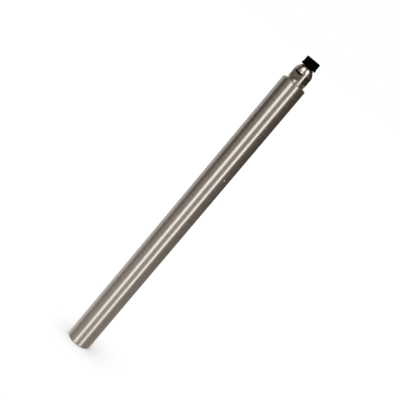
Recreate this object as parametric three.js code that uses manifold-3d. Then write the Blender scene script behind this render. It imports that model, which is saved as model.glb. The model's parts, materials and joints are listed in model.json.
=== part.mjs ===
// Downhole water quality probe: a slim stainless tube that stands on its open sensor end.
// Millimetres, +Z up. The origin is the centre of the tube's bottom rim.
import * as THREE from 'three';
import { mergeVertices } from 'three/addons/utils/BufferGeometryUtils.js';
import Module from 'manifold-3d';

const wasm = await Module();
wasm.setup();

// ---- Driving dimensions ----

const TUBE_R = 11.4;
const TUBE_LENGTH = 288.5;
const MOUTH_Z = TUBE_LENGTH + 1.2;
const RIM_CHAMFER = 0.5;

const SENSOR_BORE_R = 9;
const HEAD_FACE_Z = 14;
const HEAD_BACK_Z = 29.7;
const CHAMBER_BORE_R = 8.6;
const CHAMBER_START_Z = 30;
const CHAMBER_END_Z = 266;
const CAP_BORE_R = 9;

const FIT_GAP = 0.1;
const FACE_GAP = 0.3;

const NECK_R = 8.5;
const FLATS_Z = [291.9, 298.8];
const FLATS_DEPTH = 1.8;
const NECK_RELIEF = 0.3;
const DOME_START_Z = 299.6;
const DOME_TOP_Z = 305.2;
const DOME_TOP_R = 5.25;

const CONNECTOR_R = 4.75;
const CONNECTOR_TOP_Z = 310.2;
const SOCKET_R = 3.7;
const SOCKET_FLOOR_Z = 303.5;
const PIN_COUNT = 4;
const PIN_CIRCLE_R = 2;
const PIN_R = 0.5;

const CAP_BASE_Z = 305.5;
const CAP_TOP_Z = 313;
const CAP_FLANGE_R = 6.9;
const CAP_R = 6.55;

const O_RING_R = 0.72;
const THREAD_PITCH = 1.5;

const FINE = 48;
const ROUND = 28;
const SMALL = 12;

// ---- Materials ----

const material = (color, roughness, metalness) =>
  new THREE.MeshStandardMaterial({ color, roughness, metalness });

const steel = () => material('#a39a8d', 0.32, 1);
const brightSteel = () => material('#cfcac2', 0.2, 1);
const springSteel = () => material('#8f9092', 0.3, 1);
const nickel = () => material('#b9b6ac', 0.3, 1);
const gold = () => material('#c9a04a', 0.25, 1);
const blackPlastic = () => material('#101010', 0.6, 0);
const blackPeek = () => material('#1c1a18', 0.5, 0);
const whitePlastic = () => material('#d8d5cc', 0.5, 0);
const blackRubber = () => material('#0d0d0d', 0.8, 0);
const redRubber = () => material('#7c2f22', 0.7, 0);
const graphite = () => material('#2e2e30', 0.45, 0.2);
const ceramic = () => material('#e8e4da', 0.35, 0);
const darkGlass = () => material('#1d2733', 0.05, 0);
const circuitGreen = () => material('#1e5a35', 0.45, 0);
const chipBlack = () => material('#151517', 0.4, 0);
const cellWrap = () => material('#3d6a9c', 0.35, 0);

// ---- Closed meshes and solids ----

function closedMesh(geometry) {
  const bare = geometry.index ? geometry.toNonIndexed() : geometry;
  bare.deleteAttribute('normal');
  bare.deleteAttribute('uv');
  const merged = mergeVertices(bare, 1e-4);
  const indices = merged.index.array;
  const kept = [];
  for (let i = 0; i < indices.length; i += 3) {
    const [a, b, c] = indices.slice(i, i + 3);
    if (a !== b && b !== c && c !== a) kept.push(a, b, c);
  }
  return { positions: merged.attributes.position.array, indices: kept };
}

function signedVolume({ positions, indices }) {
  const corners = [new THREE.Vector3(), new THREE.Vector3(), new THREE.Vector3()];
  let total = 0;
  for (let i = 0; i < indices.length; i += 3) {
    corners.forEach((corner, j) => corner.fromArray(positions, 3 * indices[i + j]));
    total += corners[0].dot(corners[1].cross(corners[2])) / 6;
  }
  return total;
}

function solid(geometry) {
  const mesh = closedMesh(geometry);
  if (signedVolume(mesh) < 0) mesh.indices.reverse();
  const vertProperties = new Float32Array(mesh.positions);
  const triVerts = new Uint32Array(mesh.indices);
  return new wasm.Manifold(new wasm.Mesh({ numProp: 3, vertProperties, triVerts }));
}

function geometryOf(manifold) {
  const { vertProperties, triVerts } = manifold.getMesh();
  const geometry = new THREE.BufferGeometry();
  geometry.setAttribute('position', new THREE.BufferAttribute(vertProperties, 3));
  geometry.setIndex(new THREE.BufferAttribute(triVerts, 1));
  geometry.computeVertexNormals();
  return geometry;
}

// ---- Basic shapes, all along Z ----

/** A turned solid. Each point is [radius, z]; the outline starts and ends on the axis or closes. */
function turned(outline, segments = ROUND) {
  const points = outline.map(([r, z]) => new THREE.Vector2(r, z));
  return solid(new THREE.LatheGeometry(points, segments).rotateX(Math.PI / 2));
}

const rod = (r, z0, z1, segments = SMALL) =>
  turned([[0, z0], [r, z0], [r, z1], [0, z1]], segments);

const ring = (inner, outer, z0, z1, segments = ROUND) =>
  turned([[inner, z0], [outer, z0], [outer, z1], [inner, z1], [inner, z0]], segments);

function oRing(centreR, z, sectionR = O_RING_R, segments = 24) {
  const sides = 8;
  const outline = Array.from({ length: sides + 1 }, (_, i) => {
    const angle = (2 * Math.PI * (i % sides)) / sides;
    return [centreR + sectionR * Math.cos(angle), z + sectionR * Math.sin(angle)];
  });
  return turned(outline, segments);
}

/** A box from its lowest corner to its highest corner. */
function block([x0, y0, z0], [x1, y1, z1]) {
  const box = new THREE.BoxGeometry(x1 - x0, y1 - y0, z1 - z0);
  return solid(box.translate((x0 + x1) / 2, (y0 + y1) / 2, (z0 + z1) / 2));
}

/** An outline of [x, y] points extruded upwards from z0 to z1. */
function prism(outline, z0, z1) {
  const shape = new THREE.Shape(outline.map(([x, y]) => new THREE.Vector2(x, y)));
  const geometry = new THREE.ExtrudeGeometry(shape, { depth: z1 - z0, bevelEnabled: false });
  return solid(geometry.translate(0, 0, z0));
}

/** A round wire along a smooth curve through the points. */
function wire(points, radius, steps, sides = 8) {
  const path = new THREE.CatmullRomCurve3(points.map((p) => new THREE.Vector3(...p)));
  const section = new THREE.Shape();
  section.absarc(0, 0, radius, 0, 2 * Math.PI);
  const options = { steps, extrudePath: path, curveSegments: sides / 2, bevelEnabled: false };
  return solid(new THREE.ExtrudeGeometry(section, options));
}

/** The ridges of a screw thread between two heights, as outline points with z rising. */
function threadRidges(rootR, crestR, z0, z1, pitch = THREAD_PITCH) {
  const turns = Math.round((z1 - z0) / pitch);
  return Array.from({ length: turns }, (_, i) => {
    const z = z0 + i * pitch;
    return [[rootR, z], [crestR, z + 0.5 * pitch]];
  }).flat().concat([[rootR, z0 + turns * pitch]]);
}

const at = (manifold, x, y, z = 0) => manifold.translate([x, y, z]);

const circlePoint = (radius, degrees) => {
  const angle = THREE.MathUtils.degToRad(degrees);
  return [radius * Math.cos(angle), radius * Math.sin(angle)];
};

// ---- The assembly ----

const probe = new THREE.Group();

function add(name, manifold, look) {
  const mesh = new THREE.Mesh(geometryOf(manifold), look);
  mesh.name = name;
  probe.add(mesh);
}

// The housing: one plain tube with a bore stepped for the sensor head and the end cap.

const PORT_Z = 192.8;
const PORT_R = 0.8;
const PORT_DEGREES = -22;
const RETAINER_Z = [12.6, 13.8];

function crossHole(radius, from, to, degrees, z) {
  const hole = rod(radius, from, to).rotate([0, 90, 0]);
  return hole.rotate([0, 0, degrees]).translate([0, 0, z]);
}

function bodyTube() {
  const outside = [
    [TUBE_R - RIM_CHAMFER, 0],
    [TUBE_R, RIM_CHAMFER],
    [TUBE_R, TUBE_LENGTH],
    [TUBE_R - 1.2, MOUTH_Z - 0.2],
    [CAP_BORE_R + 0.15, MOUTH_Z],
  ];
  const inside = [
    [CAP_BORE_R, MOUTH_Z],
    [CAP_BORE_R, CHAMBER_END_Z],
    [CHAMBER_BORE_R, CHAMBER_END_Z],
    [CHAMBER_BORE_R, CHAMBER_START_Z],
    [SENSOR_BORE_R, CHAMBER_START_Z],
    [SENSOR_BORE_R, RETAINER_Z[1]],
    [SENSOR_BORE_R + 0.5, RETAINER_Z[1]],
    [SENSOR_BORE_R + 0.5, RETAINER_Z[0]],
    [SENSOR_BORE_R, RETAINER_Z[0]],
    [SENSOR_BORE_R, RIM_CHAMFER],
    [SENSOR_BORE_R + RIM_CHAMFER, 0],
  ];
  const tube = turned([...outside, ...inside, outside[0]], FINE);
  const port = crossHole(PORT_R, CHAMBER_BORE_R - 2, TUBE_R + 2, PORT_DEGREES, PORT_Z);
  return tube.subtract(port);
}

function portPlug() {
  return crossHole(PORT_R - FIT_GAP, CHAMBER_BORE_R + 0.3, TUBE_R - 0.02, PORT_DEGREES, PORT_Z);
}

add('body_tube', bodyTube(), steel());
add('leak_test_port_plug', portPlug(), nickel());

// The sensor head: a black moulded plug with the sensors in its lower face.

const HEAD_R = SENSOR_BORE_R - FIT_GAP;
const O_RING_GROOVE_R = SENSOR_BORE_R - 1.6;
const O_RING_CENTRE_R = SENSOR_BORE_R - FIT_GAP / 2 - O_RING_R;
const HEAD_O_RINGS_Z = [19.2, 24.2];
const GROOVE_HALF = 1;

const ELECTRODE_XS = [-4.5, -1.5, 1.5, 4.5];
const ELECTRODE_Y = 3.6;
const ELECTRODE_R = 0.75;
const SHEATH_AT = [0, -0.3];
const SHEATH_R = 1.4;
const SHEATH_TIP_Z = HEAD_FACE_Z - 2.5;
const WINDOW_AT = [-3.9, -2.9];
const WINDOW_R = 2.5;
const PORT_DISC_AT = [3.9, -2.9];
const PORT_DISC_R = 2.2;
const CELL_R = 2.1;
const CELL_FLOOR_Z = 20;

/** Outline points of a ring groove in an outside surface, with z rising. */
const groove = (outerR, rootR, z, half = GROOVE_HALF) =>
  [[outerR, z - half], [rootR, z - half], [rootR, z + half], [outerR, z + half]];

function sensorHead() {
  const blank = turned([
    [0, HEAD_FACE_Z],
    [HEAD_R - 0.4, HEAD_FACE_Z],
    [HEAD_R, HEAD_FACE_Z + 0.4],
    ...HEAD_O_RINGS_Z.flatMap((z) => groove(HEAD_R, O_RING_GROOVE_R, z)),
    [HEAD_R, HEAD_BACK_Z],
    [0, HEAD_BACK_Z],
  ], ROUND);
  const hole = (radius, [x, y], z0, z1) => at(rod(radius, z0, z1), x, y);
  const below = HEAD_FACE_Z - 1;
  const above = HEAD_BACK_Z + 1;
  const holes = [
    ...ELECTRODE_XS.map((x) => hole(ELECTRODE_R + FIT_GAP, [x, ELECTRODE_Y], below, above)),
    hole(SHEATH_R + FIT_GAP, SHEATH_AT, below, above),
    hole(WINDOW_R + FIT_GAP, WINDOW_AT, below, HEAD_FACE_Z + 2.4),
    hole(WINDOW_R - 0.5, WINDOW_AT, below, above),
    hole(PORT_DISC_R + FIT_GAP, PORT_DISC_AT, below, HEAD_FACE_Z + 1.2),
    hole(1, PORT_DISC_AT, below, above),
    hole(CELL_R + FIT_GAP, PORT_DISC_AT, CELL_FLOOR_Z, above),
  ];
  return holes.reduce((head, cut) => head.subtract(cut), blank);
}

/** A circlip: a ring with a gap between two lugs, each with a plier hole. */
function circlip() {
  const [low, high] = [RETAINER_Z[0] + FIT_GAP, RETAINER_Z[1] - FIT_GAP];
  const inner = SENSOR_BORE_R - 0.9;
  const outer = SENSOR_BORE_R + 0.4;
  const lugs = [-14, 14].map((degrees) => at(rod(1.1, low, high), ...circlePoint(inner, degrees)));
  const lugHoles = [-14, 14].map((degrees) =>
    at(rod(0.45, low - 1, high + 1), ...circlePoint(inner, degrees)));
  const gap = block([0, -1, low - 1], [outer + 1, 1, high + 1]);
  const bound = rod(outer, low, high, ROUND);
  const whole = lugs.reduce((clip, lug) => clip.add(lug), ring(inner, outer, low, high));
  return lugHoles.reduce((clip, hole) => clip.subtract(hole), whole.subtract(gap).intersect(bound));
}

/** A closed-ended thin sheath that holds the thermistor in the water. */
function temperatureSheath() {
  const wall = 0.3;
  return turned([
    [0, SHEATH_TIP_Z],
    [SHEATH_R * 0.7, SHEATH_TIP_Z],
    [SHEATH_R, SHEATH_TIP_Z + SHEATH_R * 0.3],
    [SHEATH_R, HEAD_BACK_Z],
    [SHEATH_R - wall, HEAD_BACK_Z],
    [SHEATH_R - wall, SHEATH_TIP_Z + wall + 0.4],
    [0, SHEATH_TIP_Z + wall],
  ], SMALL).translate([...SHEATH_AT, 0]);
}

function thermistor() {
  const z = SHEATH_TIP_Z + 0.8;
  return at(turned([[0, z], [0.6, z + 0.2], [0.8, z + 1], [0.6, z + 1.8], [0, z + 2]], 12), ...SHEATH_AT);
}

function pressurePortDisc() {
  const disc = rod(PORT_DISC_R, HEAD_FACE_Z + 0.1, HEAD_FACE_Z + 1, 24);
  const holes = [0, 72, 144, 216, 288].map((degrees) => circlePoint(1.3, degrees));
  const cut = ([x, y]) => at(rod(0.35, HEAD_FACE_Z - 1, HEAD_FACE_Z + 2, 10), x, y);
  return at(holes.reduce((plate, place) => plate.subtract(cut(place)), disc), ...PORT_DISC_AT);
}

add('sensor_head', sensorHead(), blackPeek());
HEAD_O_RINGS_Z.forEach((z, i) => {
  add(`sensor_head_o_ring_${i + 1}`, oRing(O_RING_CENTRE_R, z), blackRubber());
});
add('sensor_head_circlip', circlip(), springSteel());
ELECTRODE_XS.forEach((x, i) => {
  const pin = rod(ELECTRODE_R, HEAD_FACE_Z - 0.15, HEAD_BACK_Z + 1.2);
  add(`conductivity_electrode_${i + 1}`, at(pin, x, ELECTRODE_Y), graphite());
});
add('temperature_sheath', temperatureSheath(), brightSteel());
add('thermistor', thermistor(), graphite());
add('optical_window', at(turned([
  [0, HEAD_FACE_Z],
  [WINDOW_R - 0.2, HEAD_FACE_Z],
  [WINDOW_R, HEAD_FACE_Z + 0.2],
  [WINDOW_R, HEAD_FACE_Z + 2],
  [0, HEAD_FACE_Z + 2],
], 28), ...WINDOW_AT), darkGlass());
add('optical_emitter', at(rod(1.1, HEAD_FACE_Z + 9, HEAD_FACE_Z + 12), ...WINDOW_AT), whitePlastic());
add('optics_board', at(rod(1.8, HEAD_FACE_Z + 12.2, HEAD_FACE_Z + 13), ...WINDOW_AT), circuitGreen());
add('pressure_port_disc', pressurePortDisc(), blackPlastic());
add('pressure_cell_o_ring', at(oRing(1.6, CELL_FLOOR_Z + 0.5, 0.4, 24), ...PORT_DISC_AT), blackRubber());
add('pressure_cell', at(rod(CELL_R, CELL_FLOOR_Z + 1, CELL_FLOOR_Z + 6), ...PORT_DISC_AT), ceramic());

// The sensor board stands on a spacer behind the head.

const SENSOR_BOARD_Z = [HEAD_BACK_Z + 1.8, HEAD_BACK_Z + 3];
const HEADER_TOP_Z = 37.7;

add('sensor_board_spacer', ring(7.2, 8, HEAD_BACK_Z + FIT_GAP, SENSOR_BOARD_Z[0] - FIT_GAP), whitePlastic());
add('sensor_board', rod(8.1, ...SENSOR_BOARD_Z, ROUND), circuitGreen());
add('analog_converter_chip', block(
  [-2.5, -5.6, SENSOR_BOARD_Z[1] + FIT_GAP],
  [2.5, -1.6, SENSOR_BOARD_Z[1] + 1.1],
), chipBlack());
add('board_header', block([-5, 0.2, SENSOR_BOARD_Z[1] + FIT_GAP], [5, 2.7, HEADER_TOP_Z]), blackPlastic());

// The chassis carries the main board along the lower half of the tube.

const CHASSIS_Z = [38, 144];
const BOARD_Z = [HEADER_TOP_Z + FACE_GAP, 143];
const BOARD_Y = [-0.4, 0.8];
const BOARD_HALF_WIDTH = 6;
const SCREW_ZS = [44, 137];
const SCREW_R = 0.9;

/** A channel that is open towards -Y and holds the board between its side walls. */
function chassis() {
  const channel = prism([
    [-7.2, -1.2],
    [-6.3, -1.2],
    [-6.3, BOARD_Y[1] + FIT_GAP],
    [6.3, BOARD_Y[1] + FIT_GAP],
    [6.3, -1.2],
    [7.2, -1.2],
    [7.2, 3.6],
    [-7.2, 3.6],
  ], ...CHASSIS_Z);
  const drilled = (body, z) => body.subtract(boardHole(SCREW_R + FIT_GAP, z, 0, 8));
  return SCREW_ZS.reduce(drilled, channel);
}

/** A rod along +Y at height z, from y0 to y1. */
const boardHole = (radius, z, y0, y1) => rod(radius, -y1, -y0, 16).rotate([90, 0, 0]).translate([0, 0, z]);

function mainBoard() {
  const blank = block(
    [-BOARD_HALF_WIDTH, BOARD_Y[0], BOARD_Z[0]],
    [BOARD_HALF_WIDTH, BOARD_Y[1], BOARD_Z[1]],
  );
  return SCREW_ZS.reduce((board, z) => board.subtract(boardHole(SCREW_R + FIT_GAP, z, -2, 2)), blank);
}

function chassisScrew(z) {
  const head = boardHole(1.7, z, BOARD_Y[0] - 1.3, BOARD_Y[0] - FIT_GAP);
  return head.add(boardHole(SCREW_R, z, BOARD_Y[0] - 0.5, 3.4));
}

/** A part that lies flat on the component side of the main board. */
function onBoard([x, z], [width, length], height) {
  const face = BOARD_Y[0] - FIT_GAP;
  return block([x - width / 2, face - height, z - length / 2], [x + width / 2, face, z + length / 2]);
}

add('electronics_chassis', chassis(), whitePlastic());
add('main_board', mainBoard(), circuitGreen());
add('processor_chip', onBoard([0, 78], [7, 7], 1.2), chipBlack());
add('memory_chip', onBoard([0.5, 94], [5, 6], 1), chipBlack());
add('clock_crystal', onBoard([-3, 65], [2.5, 7], 1.6), nickel());
add('filter_inductor', onBoard([1, 110], [6, 6], 2.6), chipBlack());
add('supply_capacitor', onBoard([0, 123], [4, 7], 3), nickel());
SCREW_ZS.forEach((z, i) => add(`chassis_screw_${i + 1}`, chassisScrew(z), brightSteel()));
add('desiccant_pack', block([-4.6, 3.9, 60], [4.6, 6.9, 96]), whitePlastic());

// Two cells in an insulating sleeve fill the upper half of the tube.

const CELL_WRAP_R = 7.25;
const CELL_LENGTH = 50;
const CELLS_Z = [152, 202.8];
const SLEEVE_R = [7.35, 7.6];
const SLEEVE_Z = [150.6, 253];

/** A round cell with its raised positive cap on top. */
const batteryCell = (z) => turned([
  [0, z],
  [5.5, z],
  [5.5, z + 0.4],
  [CELL_WRAP_R - 0.4, z + 0.4],
  [CELL_WRAP_R, z + 0.8],
  [CELL_WRAP_R, z + CELL_LENGTH - 1.4],
  [CELL_WRAP_R - 0.6, z + CELL_LENGTH - 1],
  [2.75, z + CELL_LENGTH - 1],
  [2.75, z + CELL_LENGTH],
  [0, z + CELL_LENGTH],
], 32);

/** The coil that presses the cells upwards, wound on a slight cone. */
function batterySpring() {
  const turns = 4;
  const stepsPerTurn = 12;
  const [z0, z1] = [147.5, 151.3];
  const points = Array.from({ length: turns * stepsPerTurn + 1 }, (_, i) => {
    const progress = i / (turns * stepsPerTurn);
    const [x, y] = circlePoint(5 - 1.4 * progress, (360 * i) / stepsPerTurn);
    return [x, y, z0 + (z1 - z0) * progress];
  });
  return wire(points, 0.3, turns * stepsPerTurn, 6);
}

add('battery_sleeve', ring(...SLEEVE_R, ...SLEEVE_Z), blackPlastic());
add('battery_contact_lower', rod(6, 146.2, 147, 32), nickel());
add('battery_spring', batterySpring(), springSteel());
CELLS_Z.forEach((z, i) => add(`battery_cell_${i + 1}`, batteryCell(z), cellWrap()));
add('battery_contact_upper', rod(6, 253, 253.6, 32), nickel());

// Wires run from the main board, outside the sleeve, to the pins of the connector.

const WIRE_R = 0.4;
const WIRE_COLOURS = ['red', 'black', 'white', 'green'];
const WIRE_TINTS = { red: '#a8271f', black: '#141414', white: '#dedad0', green: '#2f7a44' };
const WIRE_LANE_R = 8.1;
const PIN_Z = [289, 308.6];

const pinDegrees = (i) => 135 + (360 * i) / PIN_COUNT;

function harnessWire(i) {
  const lane = 240 + 20 * i;
  const boardX = -3 + 2 * i;
  const onLane = ([radius, z]) => [...circlePoint(radius, lane), z];
  const [pinX, pinY] = circlePoint(PIN_CIRCLE_R, pinDegrees(i));
  return wire([
    [boardX, -2.4, 136.5],
    ...[[5.2, 141], [7.2, 144.5], [8, 148], [WIRE_LANE_R, 156], [WIRE_LANE_R, 200]].map(onLane),
    ...[[WIRE_LANE_R, 245], [WIRE_LANE_R, 252], [7.7, 256], [6.4, 260], [5.2, 265]].map(onLane),
    [...circlePoint(4.2, lane + 10), 271],
    [pinX, pinY, 282],
    [pinX, pinY, PIN_Z[0] - FACE_GAP],
  ], WIRE_R, 30, 6);
}

add('harness_socket', onBoard([0, 131.5], [9, 5], 3.4), whitePlastic());
WIRE_COLOURS.forEach((colour, i) => {
  add(`harness_wire_${colour}`, harnessWire(i), material(WIRE_TINTS[colour], 0.5, 0));
});

// The end cap screws into the tube's mouth and carries the connector through its dome.

const PLUG_Z = CHAMBER_END_Z + FACE_GAP;
const PLUG_R = CAP_BORE_R - FIT_GAP;
const CAP_O_RINGS_Z = [270.2, 274];
const CAP_THREAD_Z = [278, 287];
const CABLE_SPACE_R = 6.6;
const FLANGE_SEAT_Z = 286.8;
const NUT_TOP_Z = 283.3;

/** The dome's outline from its base to its top edge: a full round that ends on the connector. */
function domeOutline() {
  const foot = new THREE.Vector2(NECK_R, DOME_START_Z);
  const bend = new THREE.Vector2(NECK_R - 0.4, DOME_START_Z + 2.8);
  const top = new THREE.Vector2(DOME_TOP_R, DOME_TOP_Z);
  const curve = new THREE.QuadraticBezierCurve(foot, bend, top);
  return curve.getPoints(5).map(({ x, y }) => [x, y]);
}

/** The cutter of one wrench flat: square at its top end, with a round run-out at its lower end. */
function flatCutter() {
  const [low, high] = FLATS_Z;
  const depth = NECK_R - FLATS_DEPTH;
  const reach = NECK_R + 3;
  const shape = new THREE.Shape();
  shape.moveTo(depth, high);
  shape.lineTo(depth, low + FLATS_DEPTH);
  shape.quadraticCurveTo(depth, low + 0.5, NECK_R, low - 0.2);
  shape.lineTo(reach, low - 1.4);
  shape.lineTo(reach, high);
  const width = 4 * NECK_R;
  const options = { depth: width, curveSegments: 4, bevelEnabled: false };
  const cutter = new THREE.ExtrudeGeometry(shape, options).translate(0, 0, -width / 2);
  return solid(cutter.rotateX(Math.PI / 2));
}

function endCap() {
  const outside = [
    [CABLE_SPACE_R, PLUG_Z],
    [PLUG_R - 0.5, PLUG_Z],
    [PLUG_R, PLUG_Z + 0.5],
    ...CAP_O_RINGS_Z.flatMap((z) => groove(PLUG_R, O_RING_GROOVE_R, z)),
    [PLUG_R, CAP_THREAD_Z[0] - 1],
    ...threadRidges(PLUG_R - 0.6, PLUG_R - 0.1, ...CAP_THREAD_Z),
    [PLUG_R, CAP_THREAD_Z[1] + 0.4],
    [PLUG_R, MOUTH_Z - 0.1],
    [NECK_R - NECK_RELIEF, MOUTH_Z + 0.2],
    [NECK_R - NECK_RELIEF, MOUTH_Z + 1.4],
    [NECK_R, MOUTH_Z + 1.7],
    ...domeOutline(),
  ];
  const inside = [
    [CONNECTOR_R + FIT_GAP, DOME_TOP_Z],
    [CONNECTOR_R + FIT_GAP, FLANGE_SEAT_Z],
    [6.1, FLANGE_SEAT_Z],
    [6.1, NUT_TOP_Z],
    [CABLE_SPACE_R, NUT_TOP_Z],
  ];
  const blank = turned([...outside, ...inside, outside[0]], 36);
  const cutter = flatCutter();
  return [0, 90, 180, 270].reduce((cap, turn) => cap.subtract(cutter.rotate([0, 0, turn])), blank);
}

add('top_end_cap', endCap(), steel());
CAP_O_RINGS_Z.forEach((z, i) => {
  add(`end_cap_o_ring_${i + 1}`, oRing(O_RING_CENTRE_R, z), blackRubber());
});

// The connector: a moulded shell with four pins, held in the end cap by a ring nut.

const SHELL_FLANGE_R = 6;
const SHELL_BASE_Z = NUT_TOP_Z + FIT_GAP;
const TAIL_SPACE_R = 3.9;
const TAIL_SPACE_TOP_Z = 292;
const SHELL_O_RING_Z = 297;
const SHELL_THREAD_Z = [306.6, 309.6];

function connectorShell() {
  const outside = [
    [TAIL_SPACE_R, SHELL_BASE_Z],
    [SHELL_FLANGE_R, SHELL_BASE_Z],
    [SHELL_FLANGE_R, FLANGE_SEAT_Z - FIT_GAP],
    [CONNECTOR_R, FLANGE_SEAT_Z - FIT_GAP],
    ...groove(CONNECTOR_R, CONNECTOR_R - 0.85, SHELL_O_RING_Z, 0.6),
    ...threadRidges(CONNECTOR_R - 0.35, CONNECTOR_R, ...SHELL_THREAD_Z),
    [CONNECTOR_R - 0.3, CONNECTOR_TOP_Z - 0.3],
    [CONNECTOR_R - 0.6, CONNECTOR_TOP_Z],
  ];
  const socket = rod(SOCKET_R, SOCKET_FLOOR_Z, CONNECTOR_TOP_Z + 1, 32);
  const tailSpace = rod(TAIL_SPACE_R, SHELL_BASE_Z - 1, TAIL_SPACE_TOP_Z, 32);
  const blank = turned([[0, SHELL_BASE_Z], ...outside, [0, CONNECTOR_TOP_Z]], ROUND);
  const keyFoot = [-0.5, SOCKET_R - 0.8, SOCKET_FLOOR_Z - 0.2];
  const key = block(keyFoot, [0.5, SOCKET_R + 0.2, CONNECTOR_TOP_Z - 0.8]);
  const hollow = blank.subtract(socket).subtract(tailSpace).add(key);
  const pinHole = (i) => at(rod(PIN_R + FIT_GAP, 280, CONNECTOR_TOP_Z + 2, 16),
    ...circlePoint(PIN_CIRCLE_R, pinDegrees(i)));
  return Array.from({ length: PIN_COUNT }, (_, i) => i)
    .reduce((shell, i) => shell.subtract(pinHole(i)), hollow);
}

function contactPin(i) {
  const [low, high] = PIN_Z;
  const pin = turned([[0, low], [PIN_R, low], [PIN_R, high - 0.4], [PIN_R * 0.5, high], [0, high]], 16);
  return at(pin, ...circlePoint(PIN_CIRCLE_R, pinDegrees(i)));
}

/** A ring nut with two spanner slots in its lower face. */
function ringNut() {
  const [low, high] = [280.2, NUT_TOP_Z - FACE_GAP];
  const blank = ring(4.6, CABLE_SPACE_R - FIT_GAP, low, high);
  return blank.subtract(block([-8, -0.7, low - 1], [8, 0.7, low + 1]));
}

add('connector_shell', connectorShell(), blackPlastic());
for (let i = 0; i < PIN_COUNT; i += 1) add(`contact_pin_${i + 1}`, contactPin(i), gold());
add('connector_o_ring', oRing(CONNECTOR_R - 0.41, SHELL_O_RING_Z, 0.38), redRubber());
add('connector_ring_nut', ringNut(), nickel());

// The protective cap screws over the connector and presses a gasket on its rim.

const CAP_ROOF_Z = 311;
const CAP_BORE_THREAD_Z = [306.4, 309.4];
const CAP_INNER_R = CONNECTOR_R + 0.45;

function protectiveCap() {
  const inside = threadRidges(CAP_INNER_R, CAP_INNER_R - 0.25, ...CAP_BORE_THREAD_Z).reverse();
  return turned([
    [0, CAP_ROOF_Z],
    [CAP_INNER_R, CAP_ROOF_Z],
    ...inside,
    [CAP_INNER_R, CAP_BASE_Z],
    [CAP_FLANGE_R - 0.2, CAP_BASE_Z],
    [CAP_FLANGE_R, CAP_BASE_Z + 0.2],
    [CAP_FLANGE_R, CAP_BASE_Z + 1.8],
    [CAP_R, CAP_BASE_Z + 2.2],
    [CAP_R, CAP_TOP_Z - 0.5],
    [CAP_R - 0.5, CAP_TOP_Z],
    [0, CAP_TOP_Z],
  ], ROUND);
}

add('protective_cap', protectiveCap(), blackPlastic());
const gasket = rod(CAP_INNER_R - 0.2, CONNECTOR_TOP_Z + 0.15, CAP_ROOF_Z - 0.15, 32);
add('protective_cap_gasket', gasket, blackRubber());

export default probe;
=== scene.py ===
"""Looks of the downhole water quality probe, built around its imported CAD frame.

Outlines are in millimetres and the pieces are made in metres, in the frame's own axes: +Z runs along the
tube from the sensor end, where it stands, to the cable connector.
"""

import json
import math

import bmesh
import bpy
from mathutils import Matrix, Vector


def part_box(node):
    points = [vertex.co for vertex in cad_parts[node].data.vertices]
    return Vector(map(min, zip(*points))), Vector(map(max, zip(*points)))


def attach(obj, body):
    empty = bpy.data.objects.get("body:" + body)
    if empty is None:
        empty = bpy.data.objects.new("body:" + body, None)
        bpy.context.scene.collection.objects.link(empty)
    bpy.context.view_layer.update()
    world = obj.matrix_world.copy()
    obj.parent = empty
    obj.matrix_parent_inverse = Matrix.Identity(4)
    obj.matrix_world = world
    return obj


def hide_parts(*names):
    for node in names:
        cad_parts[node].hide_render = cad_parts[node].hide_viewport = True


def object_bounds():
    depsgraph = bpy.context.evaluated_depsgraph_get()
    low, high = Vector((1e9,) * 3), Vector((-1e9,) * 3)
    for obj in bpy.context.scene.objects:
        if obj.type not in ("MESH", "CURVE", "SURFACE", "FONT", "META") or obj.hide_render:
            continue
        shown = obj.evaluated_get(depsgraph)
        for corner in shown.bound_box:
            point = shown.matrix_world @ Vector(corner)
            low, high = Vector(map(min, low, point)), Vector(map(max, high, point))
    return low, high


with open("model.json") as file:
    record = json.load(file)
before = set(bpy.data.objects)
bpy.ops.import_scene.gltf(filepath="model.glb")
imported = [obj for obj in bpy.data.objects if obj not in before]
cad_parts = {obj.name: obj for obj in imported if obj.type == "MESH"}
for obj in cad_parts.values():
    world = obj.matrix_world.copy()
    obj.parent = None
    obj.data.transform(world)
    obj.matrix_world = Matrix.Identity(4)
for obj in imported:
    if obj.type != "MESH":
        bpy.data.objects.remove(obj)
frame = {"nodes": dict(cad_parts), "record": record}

CAD_BOX = [list(corner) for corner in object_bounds()]
MM = 0.001
SLOT_OF = {entry["node"]: entry["material_slot"] for entry in frame["record"]["subparts"]}
BODY_OF = {node: body for body, nodes in frame["record"]["behaviour"]["bodies"].items() for node in nodes}

# ---- Camera: the photograph's angle ----

CAMERA_AZIMUTH = math.radians(28)
CAMERA_ELEVATION = math.radians(12.2)
AXIS_TILT_IN_VIEW = math.radians(49.88)
LENS_MM = 80
CAMERA_DISTANCE = 0.7437
TARGET_HEIGHT = 0.1591
TARGET_OFFSET = (-0.00559, -0.00324)


def make_camera():
    """Looks down on the standing tube from a little above, and is rolled so that the tube leans."""
    a, e = CAMERA_AZIMUTH, CAMERA_ELEVATION
    back = Vector((math.sin(a) * math.cos(e), -math.cos(a) * math.cos(e), math.sin(e)))
    level_right = Vector((math.cos(a), math.sin(a), 0))
    level_up = back.cross(level_right)
    roll = math.pi / 2 - AXIS_TILT_IN_VIEW
    right = math.cos(roll) * level_right + math.sin(roll) * level_up
    up = back.cross(right)
    data = bpy.data.cameras.new("camera")
    data.lens = LENS_MM
    data.clip_start = 0.01
    camera = bpy.data.objects.new("camera", data)
    bpy.context.collection.objects.link(camera)
    target = Vector((0, 0, TARGET_HEIGHT))
    place = target - right * TARGET_OFFSET[0] - up * TARGET_OFFSET[1] + back * CAMERA_DISTANCE
    turn = Matrix((right, up, back)).transposed()
    camera.matrix_world = Matrix.Translation(place) @ turn.to_4x4()
    bpy.context.scene.camera = camera


# ---- Node helpers ----


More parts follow.
